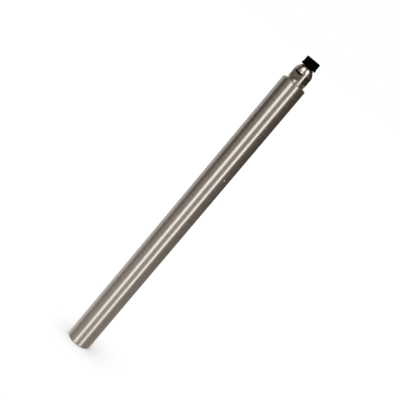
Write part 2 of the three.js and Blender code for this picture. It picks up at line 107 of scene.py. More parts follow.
def node(tree, kind, inputs=None, **settings):
    """A new node. Inputs are numbers, colours or other nodes' outputs, by socket name or index."""
    made = tree.nodes.new(kind)
    for name, value in settings.items():
        setattr(made, name, value)
    for name, value in (inputs or {}).items():
        connect(tree, made.inputs[name], value)
    return made


def connect(tree, socket, value):
    if isinstance(value, bpy.types.NodeSocket):
        tree.links.new(value, socket)
    else:
        socket.default_value = value


def math_node(tree, operation, *values):
    return node(tree, "ShaderNodeMath", dict(enumerate(values)), operation=operation).outputs[0]


def remap(tree, value, low, high, start=0.0, end=1.0, smooth=False):
    """Value from start to end becomes low to high."""
    kind = "SMOOTHSTEP" if smooth else "LINEAR"
    inputs = {"Value": value, "From Min": start, "From Max": end, "To Min": low, "To Max": high}
    return node(tree, "ShaderNodeMapRange", inputs, interpolation_type=kind).outputs[0]


def blend_colours(tree, factor, first, second):
    made = node(tree, "ShaderNodeMix", data_type="RGBA")
    for name, value in (("Factor_Float", factor), ("A_Color", first), ("B_Color", second)):
        socket = next(s for s in made.inputs if s.identifier == name)
        connect(tree, socket, value)
    return next(s for s in made.outputs if s.identifier == "Result_Color")


def noise(tree, scale, detail=4.0, rough=0.6, distortion=0.0):
    """Noise over the piece's own coordinates. Scale is features per metre along each axis."""
    place = node(tree, "ShaderNodeTexCoord").outputs["Object"]
    stretched = node(tree, "ShaderNodeMapping", {"Vector": place, "Scale": scale}).outputs[0]
    inputs = {"Vector": stretched, "Scale": 1.0, "Detail": detail, "Roughness": rough}
    inputs["Distortion"] = distortion
    return node(tree, "ShaderNodeTexNoise", inputs).outputs["Fac"]


def bump(tree, height, distance, strength=1.0, under=None):
    inputs = {"Height": height, "Distance": distance, "Strength": strength}
    if under is not None:
        inputs["Normal"] = under
    return node(tree, "ShaderNodeBump", inputs).outputs[0]


def rgba(red, green, blue):
    return (red, green, blue, 1.0)


def shaded(name):
    material = bpy.data.materials.new(name)
    material.use_nodes = True
    tree = material.node_tree
    return material, tree, tree.nodes["Principled BSDF"]


# ---- Materials ----

NECK_R = 8.5
FLATS_Z = (291.9, 298.8)
FLATS_DEPTH = 1.8
# How deep inside the neck's round the steel counts as milled: fully, and not at all.
MILLED_DEPTH = (0.15, 0.03)
# Shares of the steel's tone on the wrench flats: a darker, olive copy of the steel, painted shade for the dim
# reflection the flats show.
FLAT_SHADE_SHARES = (0.66, 0.69, 0.58)
RUN_OUT = 0.5
LEDGE_SLACK = 0.01
# Painted shadow under each flat's ledge: its dark tone, its reach below the ledge per unit of overhang, and
# its soft edge in mm.
LEDGE_SHADOW_TONE = (0.02, 0.018, 0.014)
LEDGE_SHADOW_REACH = 1.15
LEDGE_SHADOW_FADE = (-0.1, 0.35)
# The flat that faces +X gets less of the painted shadow: the share of its painted shadow, and the X between
# which it sets in.
PLUS_X_FLAT_SHADOW_SHARE = 0.35
SHADOW_EASE_X = (5.3, 6.5)


def neck_marks(tree):
    """Masks of the milled wrench flats, and of the painted shadow under the ledge at the top of each."""
    place = node(tree, "ShaderNodeTexCoord").outputs["Object"]
    x, y, z = node(tree, "ShaderNodeSeparateXYZ", {0: place}).outputs
    squares = math_node(tree, "MULTIPLY_ADD", x, x, math_node(tree, "MULTIPLY", y, y))
    radius = math_node(tree, "SQRT", squares)
    low, high = (height * MM for height in FLATS_Z)
    depth = (NECK_R - FLATS_DEPTH) * MM
    under_ledge = math_node(tree, "LESS_THAN", z, high + LEDGE_SLACK * MM)
    full, none = ((NECK_R - inside) * MM for inside in MILLED_DEPTH)
    milled = remap(tree, radius, 1, 0, full, none)
    above_foot = math_node(tree, "GREATER_THAN", z, low - RUN_OUT * MM)
    milled = math_node(tree, "MULTIPLY", milled, above_foot)
    milled = math_node(tree, "MULTIPLY", milled, under_ledge)
    outer = math_node(tree, "SUBTRACT", (NECK_R * MM) ** 2 + depth ** 2, squares)
    overhang = math_node(tree, "SUBTRACT", math_node(tree, "SQRT", outer), depth)
    below = math_node(tree, "SUBTRACT", high, z)
    # Painted shadow: it reaches furthest below the ledge where the ledge overhangs the flat most.
    spread = math_node(tree, "SUBTRACT", math_node(tree, "MULTIPLY", overhang, LEDGE_SHADOW_REACH), below)
    ledge_shadow = remap(tree, spread, 0, 1, *(reach * MM for reach in LEDGE_SHADOW_FADE), True)
    # Less painted shadow on the flat that faces +X.
    shadow_eased = remap(tree, x, 1, PLUS_X_FLAT_SHADOW_SHARE, *(at * MM for at in SHADOW_EASE_X))
    ledge_shadow = math_node(tree, "MULTIPLY", ledge_shadow, shadow_eased)
    return milled, math_node(tree, "MULTIPLY", ledge_shadow, under_ledge)


QUARTER_TURN = 0.25


def turned_steel(name, tone, roughness, anisotropy, streak_mm=0.25):
    """Steel brushed round its axis: fine rings in colour, roughness and height, with faint stains, painted
    shade on the neck's wrench flats and a painted shadow under each flat's ledge.
    """
    material, tree, shader = shaded(name)
    lines = 1 / (streak_mm * MM)
    fine = noise(tree, (45, 45, lines), 6, 0.75)
    broad = noise(tree, (18, 18, lines / 9), 4, 0.7)
    speckle = noise(tree, (1400, 1400, 2600), 2, 0.5)
    stain = noise(tree, (55, 55, 24), 3, 0.55, 0.4)
    streaks = math_node(tree, "MULTIPLY_ADD", fine, 0.6, math_node(tree, "MULTIPLY", broad, 0.4))
    dark = rgba(*(0.84 * channel for channel in tone))
    light = rgba(*(1.14 * channel for channel in tone))
    brushed = blend_colours(tree, remap(tree, streaks, 0, 1, 0.33, 0.67), dark, light)
    tinted = rgba(tone[0], 0.97 * tone[1], 0.92 * tone[2])
    stains_and_shade = blend_colours(tree, remap(tree, stain, 0, 0.5, 0.5, 0.75, True), brushed, tinted)
    milled, ledge_shadow = neck_marks(tree)
    # Painted shade: the flats get the darker, olive copy of the steel's tone.
    flat_shade_tone = rgba(*(channel * share for channel, share in zip(tone, FLAT_SHADE_SHARES)))
    stains_and_shade = blend_colours(tree, milled, stains_and_shade, flat_shade_tone)
    # Painted shadow under each ledge, laid over the steel's colour.
    stains_and_shade = blend_colours(tree, ledge_shadow, stains_and_shade, rgba(*LEDGE_SHADOW_TONE))
    connect(tree, shader.inputs["Base Color"], stains_and_shade)
    shader.inputs["Metallic"].default_value = 1.0
    rough = remap(tree, streaks, roughness - 0.05, roughness + 0.07, 0.3, 0.7)
    grain = remap(tree, speckle, -0.03, 0.03, 0.3, 0.7)
    connect(tree, shader.inputs["Roughness"], math_node(tree, "ADD", rough, grain))
    shader.inputs["Anisotropic"].default_value = anisotropy
    shader.inputs["Anisotropic Rotation"].default_value = QUARTER_TURN
    around = node(tree, "ShaderNodeTangent", direction_type="RADIAL", axis="Z").outputs[0]
    connect(tree, shader.inputs["Tangent"], around)
    ridges = bump(tree, fine, 0.006 * MM, 0.7)
    connect(tree, shader.inputs["Normal"], bump(tree, speckle, 0.002 * MM, 0.5, ridges))
    return material


def plated(name, tone, roughness, grain=900, metallic=1.0):
    """Plated or drawn metal: a soft grain, with darker and rougher patches where it was handled.

    A metallic value below 1 makes it dull: part of it scatters the light of the room.
    """
    material, tree, shader = shaded(name)
    patches = noise(tree, (grain / 4,) * 3, 4, 0.6)
    grains = noise(tree, (grain * 3,) * 3, 3, 0.6)
    dark = rgba(*(0.78 * channel for channel in tone))
    connect(tree, shader.inputs["Base Color"], blend_colours(tree, patches, dark, rgba(*tone)))
    shader.inputs["Metallic"].default_value = metallic
    rough = remap(tree, patches, roughness - 0.06, roughness + 0.1, 0.3, 0.7)
    connect(tree, shader.inputs["Roughness"], rough)
    connect(tree, shader.inputs["Normal"], bump(tree, grains, 0.004 * MM, 0.4))
    return material


def moulded(name, tone, roughness, grain_mm=0.12, depth_mm=0.006, specular=0.4):
    """Moulded plastic: a fine spark-eroded grain, with slight colour and gloss variation."""
    material, tree, shader = shaded(name)
    patches = noise(tree, (160, 160, 160), 4, 0.6)
    grains = noise(tree, (1 / (grain_mm * MM),) * 3, 4, 0.7)
    dark = rgba(*(0.7 * channel for channel in tone))
    light = rgba(*(1.25 * channel for channel in tone))
    connect(tree, shader.inputs["Base Color"], blend_colours(tree, patches, dark, light))
    gloss = remap(tree, patches, roughness - 0.07, roughness + 0.07, 0.3, 0.7)
    connect(tree, shader.inputs["Roughness"], gloss)
    shader.inputs["Specular IOR Level"].default_value = specular
    connect(tree, shader.inputs["Normal"], bump(tree, grains, depth_mm * MM, 0.6))
    return material


def rubber(name, tone):
    """Moulded rubber: dull, with a dusty bloom in patches."""
    material, tree, shader = shaded(name)
    bloom = noise(tree, (300, 300, 300), 5, 0.65)
    dusty = rgba(*(0.04 + 1.4 * channel for channel in tone))
    faint = remap(tree, bloom, 0, 0.5, 0.45, 0.8)
    connect(tree, shader.inputs["Base Color"], blend_colours(tree, faint, rgba(*tone), dusty))
    connect(tree, shader.inputs["Roughness"], remap(tree, bloom, 0.5, 0.8, 0.3, 0.7))
    shader.inputs["Specular IOR Level"].default_value = 0.3
    connect(tree, shader.inputs["Normal"], bump(tree, bloom, 0.01 * MM, 0.4))
    return material


def circuit_board(name):
    """Green solder mask with lighter tracks under it, laid out on a fine grid."""
    material, tree, shader = shaded(name)
    place = node(tree, "ShaderNodeTexCoord").outputs["Object"]
    inputs = {"Vector": place, "Scale": 900.0, "Mortar Size": 0.12}
    inputs["Color1"] = rgba(0.02, 0.16, 0.06)
    inputs["Color2"] = rgba(0.012, 0.1, 0.04)
    inputs["Mortar"] = rgba(0.05, 0.26, 0.1)
    tracks = node(tree, "ShaderNodeTexBrick", inputs, offset=0.5)
    connect(tree, shader.inputs["Base Color"], tracks.outputs["Color"])
    cloth = noise(tree, (1500, 1500, 1500), 2, 0.5)
    connect(tree, shader.inputs["Roughness"], remap(tree, cloth, 0.3, 0.5))
    connect(tree, shader.inputs["Normal"], bump(tree, tracks.outputs["Fac"], 0.01 * MM, 0.5))
    return material


def dark_window(name):
    """A polished dark optical window with fine wiping marks."""
    material, tree, shader = shaded(name)
    marks = noise(tree, (200, 2600, 200), 4, 0.7)
    tones = (rgba(0.006, 0.01, 0.022), rgba(0.02, 0.03, 0.055))
    connect(tree, shader.inputs["Base Color"], blend_colours(tree, marks, *tones))
    connect(tree, shader.inputs["Roughness"], remap(tree, marks, 0.04, 0.16, 0.3, 0.7))
    shader.inputs["Coat Weight"].default_value = 1.0
    shader.inputs["Coat Roughness"].default_value = 0.04
    connect(tree, shader.inputs["Normal"], bump(tree, marks, 0.001 * MM, 0.4))
    return material


STEEL_TONE = (0.62, 0.56, 0.5)


def make_materials():
    """One material for each slot of the record."""
    return {
        "tube_steel": turned_steel("tube_steel", STEEL_TONE, 0.3, 0.75),
        "bright_steel": plated("bright_steel", (0.8, 0.78, 0.75), 0.16),
        "spring_steel": plated("spring_steel", (0.42, 0.41, 0.4), 0.3),
        "nickel": plated("nickel", (0.72, 0.68, 0.62), 0.5, metallic=0.5),
        "gold": plated("gold", (0.95, 0.66, 0.26), 0.2),
        "cap_plastic": moulded("cap_plastic", (0.0007, 0.0006, 0.0006), 0.72, specular=0.02),
        "black_plastic": moulded("black_plastic", (0.008, 0.008, 0.009), 0.5),
        "black_peek": moulded("black_peek", (0.022, 0.02, 0.018), 0.45, 0.3),
        "white_plastic": moulded("white_plastic", (0.7, 0.67, 0.6), 0.45),
        "black_rubber": rubber("black_rubber", (0.012, 0.012, 0.012)),
        "red_rubber": rubber("red_rubber", (0.28, 0.05, 0.03)),
        "graphite": moulded("graphite", (0.05, 0.05, 0.053), 0.38, 0.05, 0.004, 0.7),
        "ceramic": moulded("ceramic", (0.78, 0.75, 0.68), 0.35, 0.06, 0.003),
        "window": dark_window("window"),
        "thermistor_glass": moulded("thermistor_glass", (0.05, 0.03, 0.02), 0.15, 0.4, 0.002),
        "circuit_board": circuit_board("circuit_board"),
        "chip": moulded("chip", (0.012, 0.012, 0.013), 0.5, 0.08),
        "cell_wrap": moulded("cell_wrap", (0.05, 0.17, 0.38), 0.3, 0.6, 0.01),
        "wire_red": moulded("wire_red", (0.4, 0.02, 0.015), 0.35),
        "wire_black": moulded("wire_black", (0.012, 0.012, 0.012), 0.35),
        "wire_white": moulded("wire_white", (0.75, 0.72, 0.66), 0.35),
        "wire_green": moulded("wire_green", (0.03, 0.24, 0.06), 0.35),
    }


# ---- Mesh helpers ----

SMOOTH_BELOW = math.radians(32)
ON_AXIS = 1e-6


def rounded(outline, radius=0.12, steps=3):
    """The outline with each corner that is off the axis cut by a small round."""
    closed = outline[0][0] > ON_AXIS
    count = len(outline)
    result = []
    for i, corner in enumerate(outline):
        if not closed and i in (0, count - 1):
            result.append(corner)
            continue
        here = Vector(corner)
        before = Vector(outline[i - 1]) - here
        after = Vector(outline[(i + 1) % count]) - here
        reach = min(radius, 0.45 * before.length, 0.45 * after.length)
        first = here + before.normalized() * reach
        last = here + after.normalized() * reach
        for step in range(steps + 1):
            t = step / steps
            result.append(tuple((1 - t) ** 2 * first + 2 * t * (1 - t) * here + t ** 2 * last))
    return result


def revolved(name, outline, segments=96, place=(0, 0), wave=None):
    """A turned mesh. Its outline of [radius, height] ends on the axis or closes; wave changes a radius."""
    bm = bmesh.new()
    rings = []
    for radius, height in outline:
        if radius < ON_AXIS:
            rings.append([bm.verts.new((place[0] * MM, place[1] * MM, height * MM))])
            continue
        ring = []
        for step in range(segments):
            angle = 2 * math.pi * step / segments
            reach = (wave(radius, height, angle) if wave else radius) * MM
            x = place[0] * MM + reach * math.cos(angle)
            y = place[1] * MM + reach * math.sin(angle)
            ring.append(bm.verts.new((x, y, height * MM)))
        rings.append(ring)
    closed = outline[0][0] >= ON_AXIS
    for low, high in zip(rings, rings[1:] + (rings[:1] if closed else [])):
        for step in range(segments):
            after = (step + 1) % segments
            around = ((low, step), (low, after), (high, after), (high, step))
            corners = [ring[i % len(ring)] for ring, i in around]
            bm.faces.new(list(dict.fromkeys(corners)))
    bmesh.ops.recalc_face_normals(bm, faces=bm.faces)
    return finished(name, bm)


def finished(name, bm):
    mesh = bpy.data.meshes.new(name)
    bm.to_mesh(mesh)
    bm.free()
    piece = bpy.data.objects.new(name, mesh)
    bpy.context.collection.objects.link(piece)
    smooth(piece)
    return piece


def smooth(piece, below=SMOOTH_BELOW):
    piece.data.shade_smooth()
    piece.data.set_sharp_from_angle(angle=below)


def cut(piece, cutters):
    """Cuts the cutters away and removes them."""
    for cutter in cutters:
        modifier = piece.modifiers.new("cut", "BOOLEAN")
        modifier.object = cutter
        modifier.solver = "EXACT"
    apply_modifiers(piece)
    for cutter in cutters:
        bpy.data.objects.remove(cutter)
    smooth(piece)


def apply_modifiers(piece):
    graph = bpy.context.evaluated_depsgraph_get()
    mesh = bpy.data.meshes.new_from_object(piece.evaluated_get(graph))
    piece.modifiers.clear()
    piece.data = mesh


def round_edges(piece, width_mm, segments=2, angle=35):
    modifier = piece.modifiers.new("edges", "BEVEL")
    modifier.width = width_mm * MM
    modifier.segments = segments
    modifier.limit_method = "ANGLE"
    modifier.angle_limit = math.radians(angle)
    modifier.harden_normals = True


def stands_for(piece, cad_node, materials):
    """Puts the piece in a CAD node's place: its body, slot and material."""
    slot = SLOT_OF[cad_node]
    piece.data.materials.clear()
    piece.data.materials.append(materials[slot])
    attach(piece, BODY_OF[cad_node])
    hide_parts(cad_node)


def rod(radius, low, high, place=(0, 0), segments=48, round_by=0.0):
    outline = [(0, low), (radius, low), (radius, high), (0, high)]
    return revolved("rod", rounded(outline, round_by) if round_by else outline, segments, place)


def span(cad_node):
    """A CAD node's lowest and highest corner, in mm."""
    return tuple(tuple(value / MM for value in corner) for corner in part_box(cad_node))


def centre(cad_node):
    low, high = span(cad_node)
    return ((low[0] + high[0]) / 2, (low[1] + high[1]) / 2)


def on_circle(radius, angle):
    return (radius * math.cos(angle), radius * math.sin(angle))


# ---- The housing ----

BORE_R = 9.0
CHAMBER_R = 8.6
CHAMBER_Z = (30, 266)
RIM_CHAMFER = 0.5
SHOULDER = (1.2, 1.0)
MOUTH_RISE = 0.2
MOUTH_FLARE = 0.15
CLIP_PLAY = 0.1
CLIP_GROOVE_DEPTH = 0.5
PORT_ANGLE = math.radians(-22)
PORT_Z = 192.8
PORT_R = 0.8
PORT_PLUG_GAP = 0.05
PORT_PLUG_ROUND = 0.2
PLUG_STANDS_OUT = 0.1


def make_tube(materials):
    """The one-piece tube: its chamfered rim, the cone at its mouth and the small port in its wall."""
    (_, _, base), (outer, _, top) = span("body_tube")
    (_, _, clip_base), (_, _, clip_top) = span("sensor_head_circlip")
    clip_low, clip_high = clip_base - CLIP_PLAY, clip_top + CLIP_PLAY
    clip_r = BORE_R + CLIP_GROOVE_DEPTH
    in_by, high_by = SHOULDER
    edge = top - MOUTH_RISE
    outline = [
        (outer - RIM_CHAMFER, base), (outer, base + RIM_CHAMFER), (outer, edge - high_by),
        (outer - in_by, edge), (BORE_R + MOUTH_FLARE, top), (BORE_R, top),
        (BORE_R, CHAMBER_Z[1]), (CHAMBER_R, CHAMBER_Z[1]), (CHAMBER_R, CHAMBER_Z[0]),
        (BORE_R, CHAMBER_Z[0]), (BORE_R, clip_high), (clip_r, clip_high), (clip_r, clip_low),
        (BORE_R, clip_low), (BORE_R, base + RIM_CHAMFER), (BORE_R + RIM_CHAMFER, base),
    ]
    tube = revolved("tube", rounded(outline, 0.18, 4), 192)
    cut(tube, [cross_rod(PORT_R, CHAMBER_R - 2, outer + 2)])
    stands_for(tube, "body_tube", materials)


def cross_rod(radius, start, end, round_by=0.0):
    """A rod that lies along the port's axis, from start to end radius."""
    made = rod(radius, start, end, round_by=round_by)
    turn = Matrix.Rotation(PORT_ANGLE, 4, "Z") @ Matrix.Rotation(math.pi / 2, 4, "Y")
    made.data.transform(Matrix.Translation((0, 0, PORT_Z * MM)) @ turn)
    return made


def make_port_plug(materials):
    """Closes the port, and stands a little out of the tube, where it catches the light."""
    end = span("body_tube")[1][0] + PLUG_STANDS_OUT
    plug = cross_rod(PORT_R - PORT_PLUG_GAP, CHAMBER_R + 0.3, end, PORT_PLUG_ROUND)
    plug.name = "port_plug"
    stands_for(plug, "leak_test_port_plug", materials)


# ---- The end cap ----

PLUG_R = 8.9
GROOVE_R = 7.4
GROOVE_HALF = 1.0
NECK_RELIEF = 0.3
DOME_FOOT_Z = 299.6
DOME_TOP_R = 5.25
THREAD_Z = (278, 287)
THREAD_PITCH = 1.5
CONNECTOR_BORE_R = 4.85
CABLE_SPACE_R = 6.6
FLANGE_SEAT = (6.1, 286.8)
NUT_TOP_Z = 283.3


def groove(outer, root, height, half=GROOVE_HALF):
    return [(outer, height - half), (root, height - half), (root, height + half), (outer, height + half)]


def ridges(root, crest, low, high, pitch=THREAD_PITCH):
    """The crests and roots of a thread, as points of an outline going up."""
    count = round((high - low) / pitch)
    points = []
    for turn in range(count):
        start = low + turn * pitch
        points += [(root, start), (crest, start + 0.42 * pitch), (crest, start + 0.58 * pitch)]
    return points + [(root, high)]


def arc(start, control, end, steps=8):
    """Points of a smooth bend from start to end."""
    start, control, end = Vector(start), Vector(control), Vector(end)
    return [
        tuple((1 - t) ** 2 * start + 2 * t * (1 - t) * control + t ** 2 * end)
        for t in (step / steps for step in range(steps + 1))
    ]


def dome(top_z):
    """The full round above the flats, which ends on the connector."""
    return arc((NECK_R, DOME_FOOT_Z), (NECK_R - 0.4, DOME_FOOT_Z + 2.8), (DOME_TOP_R, top_z), 14)


def flat_cutter(turn):
    """Cuts one wrench flat: square at its upper end, run out round at its lower end."""
    low, high = FLATS_Z
    depth = NECK_R - FLATS_DEPTH
    section = [(depth, high)]
    section += arc((depth, low + FLATS_DEPTH), (depth, low + 0.5), (NECK_R, low - 0.2))
    section += [(NECK_R + 3, low - 1.4), (NECK_R + 3, high)]
    bm = bmesh.new()
    sides = [[bm.verts.new((x * MM, y * MM, z * MM)) for x, z in section] for y in (-2 * NECK_R, 2 * NECK_R)]
    bm.faces.new(sides[0])
    bm.faces.new(sides[1])
    for i in range(len(section)):
        after = (i + 1) % len(section)
        bm.faces.new((sides[0][i], sides[0][after], sides[1][after], sides[1][i]))
    bmesh.ops.recalc_face_normals(bm, faces=bm.faces)
    made = finished("cutter", bm)
    made.data.transform(Matrix.Rotation(turn, 4, "Z"))
    return made


def make_end_cap(materials):
    """The cap in the tube's mouth: plug, thread, collar, four wrench flats and dome."""
    (_, _, base), (_, _, top) = span("top_end_cap")
    mouth = span("body_tube")[1][2]
    seals = [sum(span(f"end_cap_o_ring_{i}")[k][2] for k in (0, 1)) / 2 for i in (1, 2)]
    lower = [(CABLE_SPACE_R, base), (PLUG_R - 0.5, base), (PLUG_R, base + 0.5)]
    for height in seals:
        lower += groove(PLUG_R, GROOVE_R, height)
    lower += [(PLUG_R, THREAD_Z[0] - 1)]
    lower += ridges(PLUG_R - 0.6, PLUG_R - 0.1, *THREAD_Z)
    lower += [(PLUG_R, THREAD_Z[1] + 0.4), (PLUG_R, mouth - 0.1)]
    lower += [(NECK_R - NECK_RELIEF, mouth + 0.2), (NECK_R - NECK_RELIEF, mouth + 1.4), (NECK_R, mouth + 1.7)]
    inside = [
        (CONNECTOR_BORE_R, top), (CONNECTOR_BORE_R, FLANGE_SEAT[1]), FLANGE_SEAT,
        (FLANGE_SEAT[0], NUT_TOP_Z), (CABLE_SPACE_R, NUT_TOP_Z),
    ]
    cap = revolved("end_cap", rounded(lower, 0.1, 2) + dome(top) + inside, 144)
    cut(cap, [flat_cutter(turn * math.pi / 2) for turn in range(4)])
    round_edges(cap, 0.1)
    stands_for(cap, "top_end_cap", materials)


# ---- The connector and its protective cap ----

SHELL_R = 4.75
SOCKET_R = 3.7
SOCKET_FLOOR_Z = 303.5
TAIL_SPACE = (3.9, 292)
SHELL_THREAD_Z = (306.6, 309.6)
SHELL_THREAD_DEPTH = 0.35
FLANGE_GAP = 0.1
PIN_COUNT = 4
PIN_R = 0.5
PIN_HOLE_R = 0.6


def make_connector(materials):
    """The moulded shell, its socket, and the four pins that stand in it."""
    (_, _, base), (flange, _, top) = span("connector_shell")
    seal = sum(span("connector_o_ring")[k][2] for k in (0, 1)) / 2
    flange_top = FLANGE_SEAT[1] - FLANGE_GAP
    outline = [
        (TAIL_SPACE[0], base), (flange, base), (flange, flange_top), (SHELL_R, flange_top),
        *groove(SHELL_R, SHELL_R - 0.85, seal, 0.6),
        *ridges(SHELL_R - SHELL_THREAD_DEPTH, SHELL_R, *SHELL_THREAD_Z),
        (SHELL_R - 0.3, top - 0.3), (SHELL_R - 0.6, top), (SOCKET_R, top), (SOCKET_R, SOCKET_FLOOR_Z),
        (0, SOCKET_FLOOR_Z),
    ]
    outline = [(0, TAIL_SPACE[1]), TAIL_SPACE] + outline
    shell = revolved("connector_body", rounded(outline, 0.08, 2), 96)
    pins = [f"contact_pin_{i + 1}" for i in range(PIN_COUNT)]
    cut(shell, [rod(PIN_HOLE_R, base - 1, top + 1, centre(pin), 32) for pin in pins])
    stands_for(shell, "connector_shell", materials)
    for pin in pins:
        (_, _, low), (_, _, high) = span(pin)
        outline = [(0, low), (PIN_R, low), (PIN_R, high - 0.5), (0.2, high), (0, high)]
        made = revolved(pin.replace("contact", "gilt"), rounded(outline, 0.15, 3), 32, centre(pin))
        stands_for(made, pin, materials)


CAP_BORE_R = 5.2
CAP_ROOF_Z = 311.0
CAP_THREAD_Z = (306.4, 309.4)
KNURL_COUNT = 40
KNURL_DEPTH = 0.11
CAP_RIM_WIDTH = 0.4
CAP_THREAD_DEPTH = 0.25


def knurl(grip, low, high):
    """Fine upright grooves round the cap's grip, between two heights."""
    def wave(radius, height, angle):
        if radius < grip - 0.01 or radius > grip + 0.01 or not low < height < high:
            return radius
        return radius - KNURL_DEPTH * (1 - abs(math.cos(KNURL_COUNT * angle / 2)) ** 0.6)
    return wave


def make_protective_cap(materials):
    """The black cap that screws over the connector: grip, wider lower rim and threaded bore."""
    (_, _, base), (flange, _, top) = span("protective_cap")
    grip = flange - CAP_RIM_WIDTH
    rise = [(grip, base + 2.5 + 0.4 * step) for step in range(10)]
    outside = [
        (flange - 0.25, base), (flange, base + 0.25), (flange, base + 1.8), (grip, base + 2.2),
        *rise, (grip, top - 0.5), (grip - 0.5, top), (0, top),
    ]
    inside = [(0, CAP_ROOF_Z), (CAP_BORE_R, CAP_ROOF_Z)]
    inside += reversed(ridges(CAP_BORE_R, CAP_BORE_R - CAP_THREAD_DEPTH, *CAP_THREAD_Z))
    inside += [(CAP_BORE_R, base)]
    wave = knurl(grip, base + 2.6, top - 0.6)
    cap = revolved("screw_cap", rounded(inside + outside, 0.12, 3), 320, wave=wave)
    stands_for(cap, "protective_cap", materials)


# ---- The sensor end ----

HEAD_R = 8.9
ELECTRODE_HOLE_R = 0.85
SHEATH_HOLE_R = 1.5
WINDOW_POCKET = (2.6, 2.4)
EMITTER_POCKET = (2.0, 2.0)
DISC_POCKET = (2.3, 1.2)
PRESSURE_DUCT_R = 1.0
PRESSURE_CELL_POCKET = (2.2, 20)


def make_sensor_head(materials):
    """The black plug with a hole for each sensor."""
    (_, _, face), (_, _, back) = span("sensor_head")
    outline = [(0, face), (HEAD_R - 0.4, face), (HEAD_R, face + 0.4)]
    for i in (1, 2):
        height = sum(span(f"sensor_head_o_ring_{i}")[k][2] for k in (0, 1)) / 2
        outline += groove(HEAD_R, GROOVE_R, height)
    outline += [(HEAD_R, back), (0, back)]
    head = revolved("head", rounded(outline, 0.15), 128)
    window, port = centre("optical_window"), centre("pressure_port_disc")
    electrodes = [centre(f"conductivity_electrode_{i}") for i in (1, 2, 3, 4)]
    holes = [rod(ELECTRODE_HOLE_R, face - 1, back + 1, place, 32) for place in electrodes]
    holes += [
        rod(SHEATH_HOLE_R, face - 1, back + 1, centre("temperature_sheath")),
        rod(WINDOW_POCKET[0], face - 1, face + WINDOW_POCKET[1], window),
        rod(EMITTER_POCKET[0], face + EMITTER_POCKET[1], back + 1, window),
        rod(DISC_POCKET[0], face - 1, face + DISC_POCKET[1], port),
        rod(PRESSURE_DUCT_R, face + 1, PRESSURE_CELL_POCKET[1] + 0.5, port),
        rod(PRESSURE_CELL_POCKET[0], PRESSURE_CELL_POCKET[1], back + 1, port),
    ]
    cut(head, holes)
    round_edges(head, 0.08)
    stands_for(head, "sensor_head", materials)


CLIP_WIDTH = (0.9, 0.4)
LUG_ANGLES = (-14, 14)
LUG_R = 1.1
PLIER_HOLE_R = 0.45


def make_circlip(materials):
    """The spring clip that holds the head: an open ring with two lugs and plier holes."""
    (_, _, low), (_, _, high) = span("sensor_head_circlip")
    inner, outer = BORE_R - CLIP_WIDTH[0], BORE_R + CLIP_WIDTH[1]
    ring = revolved("clip", [(inner, low), (outer, low), (outer, high), (inner, high)], 160)
    lug_angles = [math.radians(degrees) for degrees in LUG_ANGLES]
    for angle in lug_angles:
        lug = rod(LUG_R, low, high, on_circle(inner, angle), 32)
        modifier = ring.modifiers.new("lug", "BOOLEAN")
        modifier.operation = "UNION"
        modifier.object = lug
        apply_modifiers(ring)
        bpy.data.objects.remove(lug)
    cutters = [rod(PLIER_HOLE_R, low - 1, high + 1, on_circle(inner, angle), 24) for angle in lug_angles]
    cutters.append(box_cutter((0, -1, low - 1), (outer + 1, 1, high + 1)))
    trim = [(outer, low - 1), (outer + 3, low - 1), (outer + 3, high + 1), (outer, high + 1)]
    cutters.append(revolved("trim", trim, 160))
    cut(ring, cutters)
    round_edges(ring, 0.06)
    stands_for(ring, "sensor_head_circlip", materials)


def box_cutter(low, high):
    bm = bmesh.new()
    bmesh.ops.create_cube(bm, size=1)
    size = [b - a for a, b in zip(low, high)]
    middle = [(a + b) / 2 for a, b in zip(low, high)]
    for vert in bm.verts:
        vert.co = Vector([(m + c * s) * MM for m, c, s in zip(middle, vert.co, size)])
    return finished("cutter", bm)


def make_sheath(materials):
    (_, _, tip), (_, _, back) = span("temperature_sheath")
    outline = [
        (0, tip), (1.0, tip + 0.05), (1.4, tip + 0.5), (1.4, back),
        (1.1, back), (1.1, tip + 0.8), (0, tip + 0.4),
    ]
    sheath = revolved("sheath", rounded(outline, 0.3, 5), 64, centre("temperature_sheath"))
    stands_for(sheath, "temperature_sheath", materials)


DISC_R = 2.2
DISC_HOLES = 5
DISC_HOLE_R = 0.35
DISC_HOLE_CIRCLE = 1.3


def make_port_disc(materials):
    (_, _, low), (_, _, high) = span("pressure_port_disc")
    x, y = centre("pressure_port_disc")
    disc = rod(DISC_R, low, high, (x, y), 64, 0.1)
    disc.name = "port_disc"
    holes = []
    for i in range(DISC_HOLES):
        along, across = on_circle(DISC_HOLE_CIRCLE, 2 * math.pi * i / DISC_HOLES)
        holes.append(rod(DISC_HOLE_R, low - 1, high + 1, (x + along, y + across), 20))
    cut(disc, holes)
    stands_for(disc, "pressure_port_disc", materials)


def make_rods(materials):
    """Plain turned pieces with softly rounded ends, each on its CAD node's own axis."""
    round_ends = {
        "optical_window": 0.25, "optical_emitter": 0.3, "optics_board": 0.05, "pressure_cell": 0.15,
        "sensor_board": 0.05, "battery_contact_lower": 0.1, "battery_contact_upper": 0.1,
        "protective_cap_gasket": 0.12, "thermistor": 0.7,
    }
    round_ends.update({f"conductivity_electrode_{i}": 0.12 for i in (1, 2, 3, 4)})
    for name, round_by in round_ends.items():
        (x0, _, low), (x1, _, high) = span(name)
        piece = rod((x1 - x0) / 2, low, high, centre(name), 64, round_by)
        piece.name = f"{name}_piece"
        stands_for(piece, name, materials)


